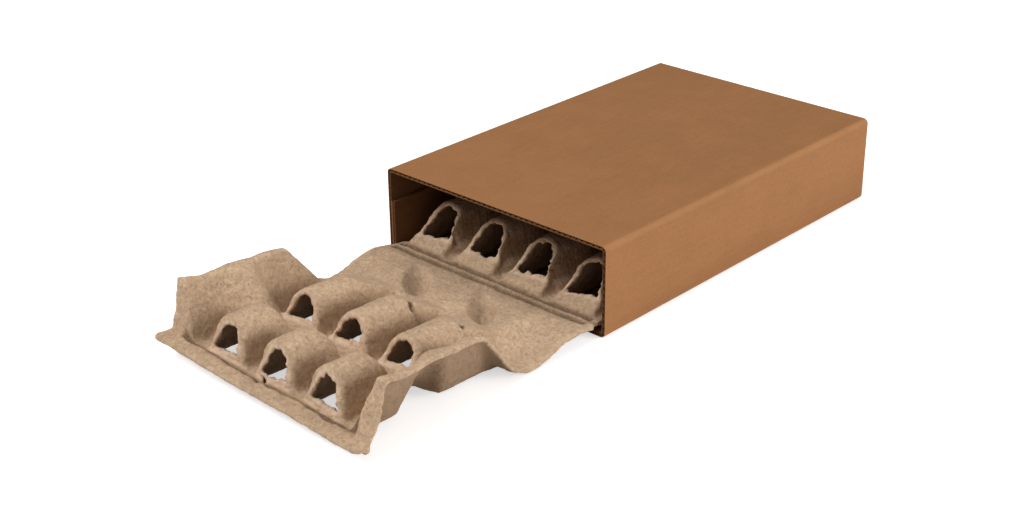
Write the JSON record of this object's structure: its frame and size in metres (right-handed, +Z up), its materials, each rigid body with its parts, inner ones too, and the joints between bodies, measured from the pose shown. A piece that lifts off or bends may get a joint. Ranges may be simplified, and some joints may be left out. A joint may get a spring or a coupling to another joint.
{
  "type": "protective mailer box",
  "caption": "Protective mailer: a corrugated board sleeve with a moulded pulp insert that slides in, its lid half open in front of the mouth.",
  "frame": {"origin": "centre of the sleeve's underside", "axes": "+Z up; +Y runs into the sleeve from the mouth with the insert; +X to the right of someone who looks into that mouth"},
  "size_m": [0.13, 0.3336, 0.042],
  "materials": {
    "board": "matte kraft liner",
    "pulp": "matte fibrous pulp"
  },
  "bodies": {
    "sleeve": {"sleeve": "board"},
    "insert_base": {"insert_base": "pulp"},
    "insert_lid": {"insert_lid": "pulp"}
  },
  "joints": [
    {"name": "tray_slide", "type": "slide", "parent": "sleeve", "child": "insert_base", "axis": [0, -1, 0], "range_m": [0, 0.19]},
    {"name": "lid_fold", "type": "hinge", "parent": "insert_base", "child": "insert_lid", "pos_m": [0, -0.1015, 0.006], "axis": [-1, 0, 0], "range_deg": [0, 86]}
  ]
}
